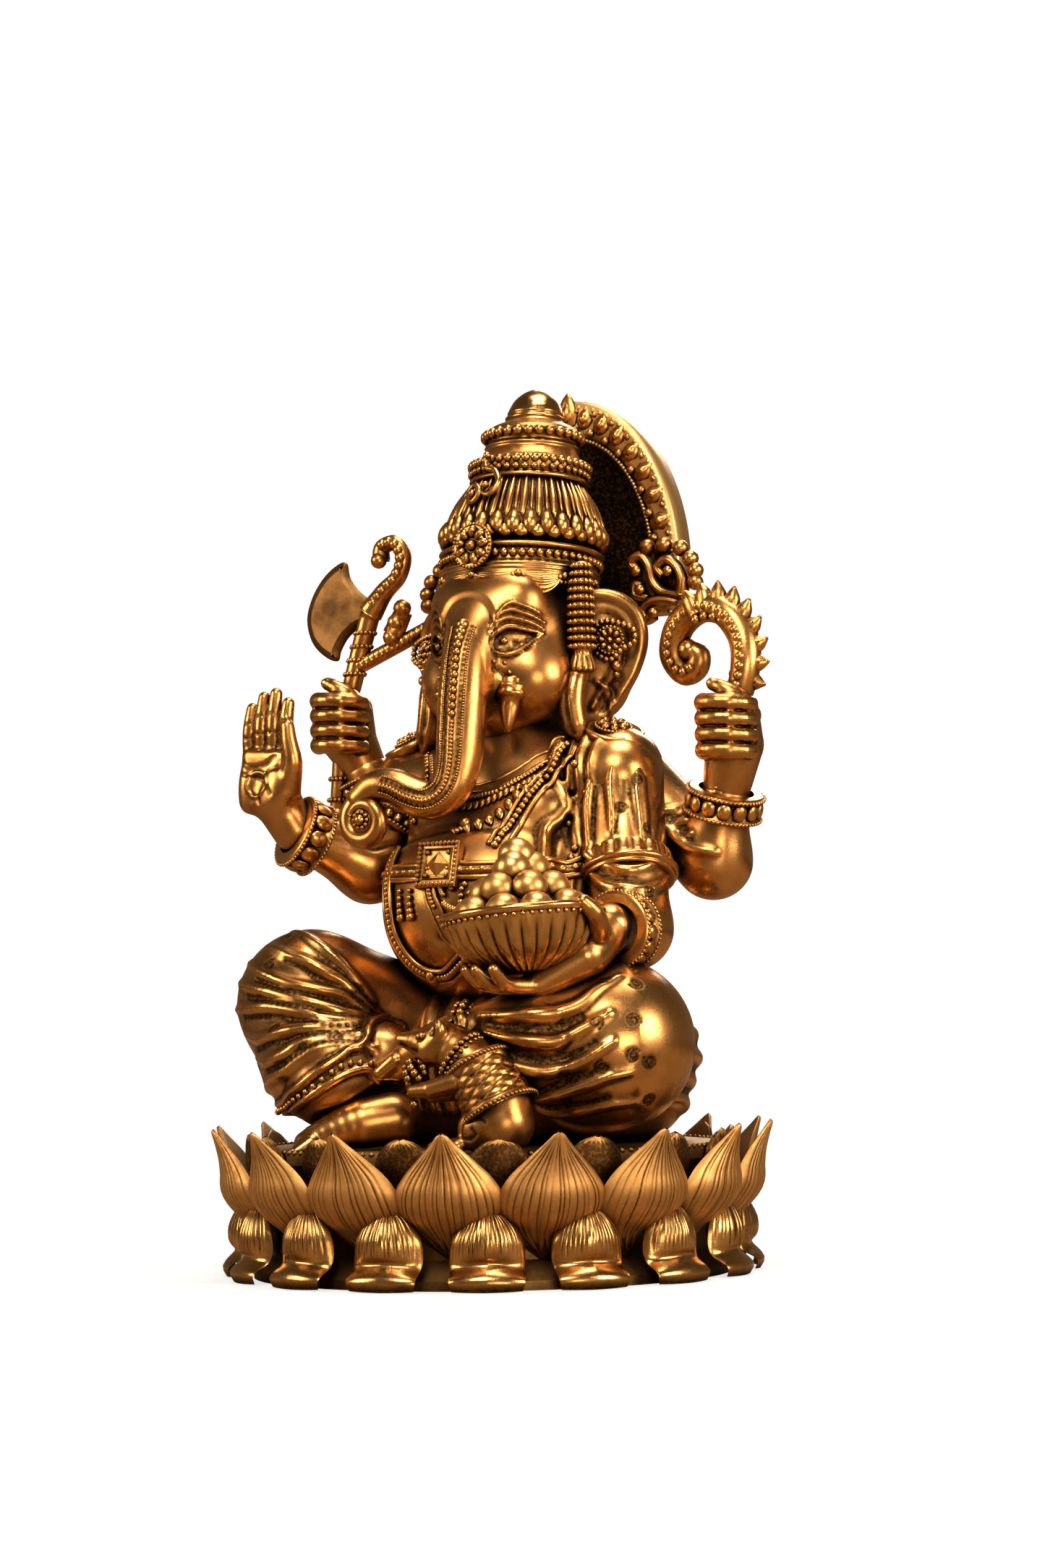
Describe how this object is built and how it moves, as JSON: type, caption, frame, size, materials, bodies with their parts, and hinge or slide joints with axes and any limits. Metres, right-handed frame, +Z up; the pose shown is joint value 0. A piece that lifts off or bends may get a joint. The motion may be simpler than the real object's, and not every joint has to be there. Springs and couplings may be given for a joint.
{
  "type": "deity statuette",
  "caption": "Seated four-armed elephant-headed deity statuette in aged cast brass, with axe, goad, bowl of sweets and mouse, on a double lotus base",
  "frame": {"origin": "centre of the underside of the lotus base, on the surface it stands on", "axes": "+Z up, the figure faces -Y, its left hand is towards +X"},
  "size_m": [0.1887, 0.1861, 0.3018],
  "materials": {
    "base_brass": "satin cast brass with dark engraved lines",
    "body_brass": "polished high points over dark patina",
    "ornament_brass": "chased brass with dark recesses",
    "steel": "plain"
  },
  "bodies": {
    "root": {"base_drum": "base_brass", "upper_petals": "base_brass", "lower_petals": "base_brass", "fixing_screws": "steel", "crown_band": "ornament_brass", "crown_dome": "ornament_brass", "crown_tiers": "ornament_brass", "crown_finial": "ornament_brass", "crown_flower": "ornament_brass", "crown_tassel_left": "ornament_brass", "crown_tassel_right": "ornament_brass", "halo_disc": "ornament_brass", "halo_petals": "ornament_brass", "halo_scroll_left": "ornament_brass", "halo_scroll_right": "ornament_brass", "axe_blade": "ornament_brass", "axe_shaft": "ornament_brass", "goad": "ornament_brass", "axe_bracelet": "ornament_brass", "blessing_bracelet": "ornament_brass", "bowl_bracelet": "ornament_brass", "goad_bracelet": "ornament_brass", "left_armlet": "ornament_brass", "right_armlet": "ornament_brass", "belt": "ornament_brass", "belt_clasp": "ornament_brass", "garland": "ornament_brass", "ear_pendant_left": "ornament_brass", "ear_pendant_right": "ornament_brass", "shoulder_disc_left": "ornament_brass", "shoulder_disc_right": "ornament_brass", "hem_rings": "ornament_brass", "sweet_bowl": "ornament_brass", "sweets": "ornament_brass", "mouse_saddle": "ornament_brass", "left_tusk": "ornament_brass", "right_tusk": "ornament_brass", "torso": "body_brass", "hips": "body_brass", "head": "body_brass", "trunk": "body_brass", "left_ear": "body_brass", "right_ear": "body_brass", "front_left_arm": "body_brass", "front_right_arm": "body_brass", "rear_left_arm": "body_brass", "rear_right_arm": "body_brass", "blessing_hand": "body_brass", "bowl_hand": "body_brass", "axe_hand": "body_brass", "goad_hand": "body_brass", "left_leg": "body_brass", "right_leg": "body_brass", "left_foot": "body_brass", "right_foot": "body_brass", "mouse_body": "body_brass"}
  },
  "joints": []
}
